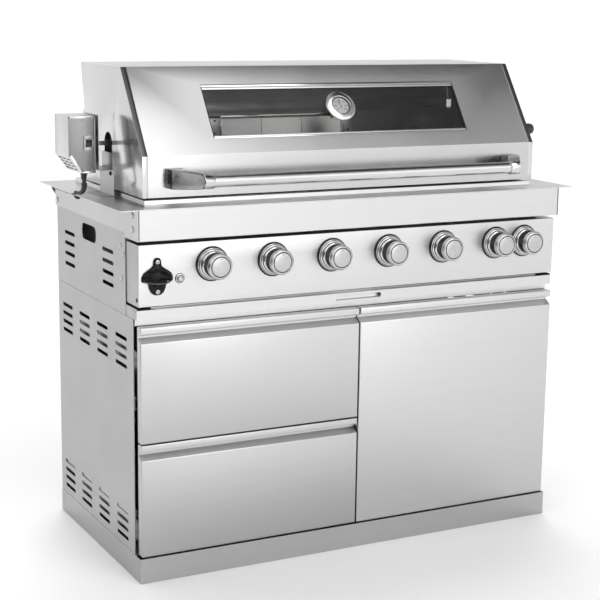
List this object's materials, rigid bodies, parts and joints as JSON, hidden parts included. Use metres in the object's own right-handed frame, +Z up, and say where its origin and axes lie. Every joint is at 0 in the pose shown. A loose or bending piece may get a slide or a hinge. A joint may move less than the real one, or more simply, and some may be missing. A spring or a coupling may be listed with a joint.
{
  "type": "gas barbecue grill",
  "caption": "Free-standing gas barbecue with a glazed lid, rear burner, motor spit, drip tray, two drawers and a door.",
  "frame": {"origin": "on the floor, at the middle of the plinth, on the underside of its centre rail", "axes": "+X to the right along the width, +Y from the front to the back, +Z up"},
  "size_m": [1.389, 0.758, 1.2207],
  "materials": {
    "brushed_steel": "satin horizontal grain",
    "inner_steel": "mill finish sheet",
    "burner_steel": "heat-tinted tube",
    "grate_steel": "polished rod",
    "brass": "dull brass valves and pipe",
    "ceramic": "pierced matt ceramic, about as light as plastic",
    "glass": "clear, slightly smoked",
    "chrome": "polished",
    "knob_chrome": "polished with a satin cap",
    "black_iron": "gloss black powder coat",
    "black_plastic": "moulded",
    "cord_sheath": "matt rubber sheath"
  },
  "bodies": {
    "grill_body": {"plinth": "brushed_steel", "cabinet_left_side": "brushed_steel", "cabinet_right_side": "brushed_steel", "cabinet_top_rail": "brushed_steel", "head_left_side": "brushed_steel", "head_right_side": "brushed_steel", "front_band": "brushed_steel", "left_side_band": "brushed_steel", "right_side_band": "brushed_steel", "cooktop_deck": "brushed_steel", "control_panel": "brushed_steel", "motor_bracket": "brushed_steel", "motor_housing": "brushed_steel", "cabinet_floor": "inner_steel", "cabinet_back": "inner_steel", "cabinet_divider": "inner_steel", "head_back": "inner_steel", "firebox": "inner_steel", "rear_burner_housing": "inner_steel", "burner_1": "burner_steel", "burner_2": "burner_steel", "burner_3": "burner_steel", "burner_4": "burner_steel", "burner_5": "burner_steel", "burner_6": "burner_steel", "cooking_grate_left": "grate_steel", "cooking_grate_centre": "grate_steel", "cooking_grate_right": "grate_steel", "gas_manifold": "brass", "ceramic_tiles": "ceramic", "bottle_opener": "black_iron", "cord_gland": "black_plastic", "cord_plug": "black_plastic", "motor_cord": "cord_sheath", "cord_coil": "cord_sheath"},
    "lid": {"lid_shell": "brushed_steel", "lid_left_side": "brushed_steel", "lid_right_side": "brushed_steel", "window_glass": "glass", "lid_thermometer": "chrome", "lid_handle_bar": "chrome", "handle_bracket_left": "chrome", "handle_bracket_right": "chrome"},
    "drip_tray": {"drip_tray": "brushed_steel"},
    "upper_drawer": {"upper_drawer_front": "brushed_steel", "upper_drawer_box": "inner_steel"},
    "lower_drawer": {"lower_drawer_front": "brushed_steel", "lower_drawer_box": "inner_steel"},
    "door": {"cabinet_door": "brushed_steel"},
    "spit": {"spit_rod": "chrome", "spit_handle": "black_plastic"},
    "button": {"ignition_button": "chrome"},
    "rocker": {"motor_switch": "black_plastic"},
    "knob_1": {"knob_1": "knob_chrome"},
    "knob_2": {"knob_2": "knob_chrome"},
    "knob_3": {"knob_3": "knob_chrome"},
    "knob_4": {"knob_4": "knob_chrome"},
    "knob_5": {"knob_5": "knob_chrome"},
    "knob_6": {"knob_6": "knob_chrome"},
    "knob_7": {"knob_7": "knob_chrome"}
  },
  "joints": [
    {"name": "lid_hinge", "type": "hinge", "parent": "grill_body", "child": "lid", "pos_m": [0, 0.173, 0.985], "axis": [-1, 0, 0], "range_deg": [0, 85]},
    {"name": "knob_1_turn", "type": "hinge", "parent": "grill_body", "child": "knob_1", "pos_m": [-0.40375, -0.317, 0.769], "axis": [0, -1, 0], "range_deg": [0, 225]},
    {"name": "knob_2_turn", "type": "hinge", "parent": "grill_body", "child": "knob_2", "pos_m": [-0.24225, -0.317, 0.769], "axis": [0, -1, 0], "range_deg": [0, 225]},
    {"name": "knob_3_turn", "type": "hinge", "parent": "grill_body", "child": "knob_3", "pos_m": [-0.08075, -0.317, 0.769], "axis": [0, -1, 0], "range_deg": [0, 225]},
    {"name": "knob_4_turn", "type": "hinge", "parent": "grill_body", "child": "knob_4", "pos_m": [0.08075, -0.317, 0.769], "axis": [0, -1, 0], "range_deg": [0, 225]},
    {"name": "knob_5_turn", "type": "hinge", "parent": "grill_body", "child": "knob_5", "pos_m": [0.24225, -0.317, 0.769], "axis": [0, -1, 0], "range_deg": [0, 225]},
    {"name": "knob_6_turn", "type": "hinge", "parent": "grill_body", "child": "knob_6", "pos_m": [0.40375, -0.317, 0.769], "axis": [0, -1, 0], "range_deg": [0, 225]},
    {"name": "knob_7_turn", "type": "hinge", "parent": "grill_body", "child": "knob_7", "pos_m": [0.493, -0.317, 0.769], "axis": [0, -1, 0], "range_deg": [0, 225]},
    {"name": "button_press", "type": "slide", "parent": "grill_body", "child": "button", "axis": [0, 1, 0], "range_m": [0, 0.003], "stiffness_N_per_m": 400, "springref_m": -0.002},
    {"name": "rocker_tip", "type": "hinge", "parent": "grill_body", "child": "rocker", "pos_m": [-0.6225, -0.052, 1.0385], "axis": [-1, 0, 0], "range_deg": [0, 16]},
    {"name": "spit_spin", "type": "hinge", "parent": "grill_body", "child": "spit", "pos_m": [0, 0.0005, 1.033], "axis": [1, 0, 0], "continuous": true},
    {"name": "drip_tray_slide", "type": "slide", "parent": "grill_body", "child": "drip_tray", "axis": [0, -1, 0], "range_m": [0, 0.42]},
    {"name": "upper_drawer_slide", "type": "slide", "parent": "grill_body", "child": "upper_drawer", "axis": [0, -1, 0], "range_m": [0, 0.45]},
    {"name": "lower_drawer_slide", "type": "slide", "parent": "grill_body", "child": "lower_drawer", "axis": [0, -1, 0], "range_m": [0, 0.45]},
    {"name": "door_hinge", "type": "hinge", "parent": "grill_body", "child": "door", "pos_m": [0.583, -0.271, 0.3466], "axis": [0, 0, 1], "range_deg": [0, 105]}
  ]
}
